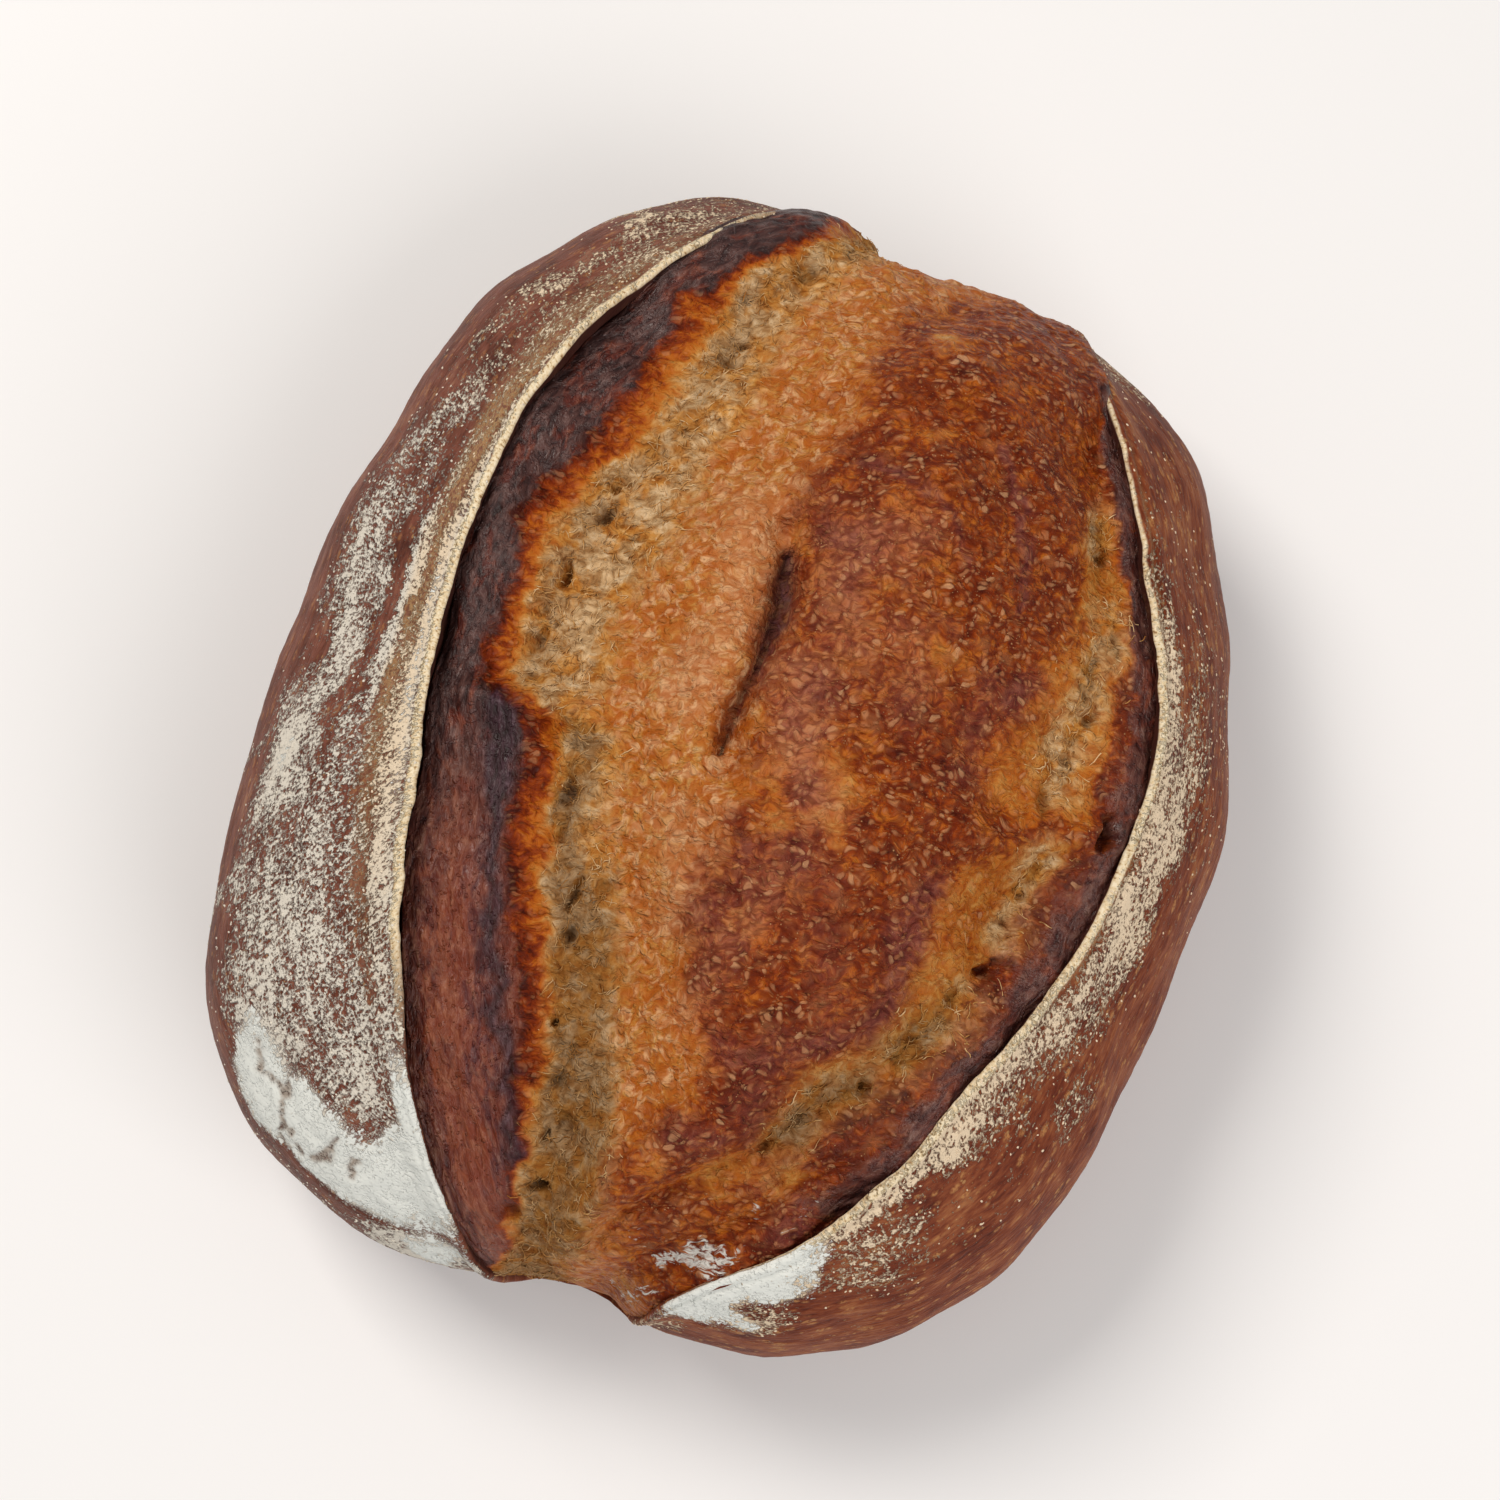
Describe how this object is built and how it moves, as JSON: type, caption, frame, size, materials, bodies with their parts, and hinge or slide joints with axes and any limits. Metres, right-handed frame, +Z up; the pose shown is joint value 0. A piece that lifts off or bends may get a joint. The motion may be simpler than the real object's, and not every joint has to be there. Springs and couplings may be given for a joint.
{
  "type": "sourdough loaf",
  "caption": "Oval hearth-baked sourdough loaf with a flat foot, floured flanks and one long open score along its top.",
  "frame": {"origin": "middle of the foot that the loaf rests on, under the middle of its outline", "axes": "+Y along the loaf towards the end where the score's dark cut face runs over the edge, +X across it towards the flank with the lower lip, +Z up"},
  "size_m": [0.1994, 0.235, 0.1008],
  "materials": {
    "baked_crust": "baked bread crust, dry and slightly rough, with flour on the flanks"
  },
  "bodies": {
    "root": {"loaf": "baked_crust"}
  },
  "joints": []
}
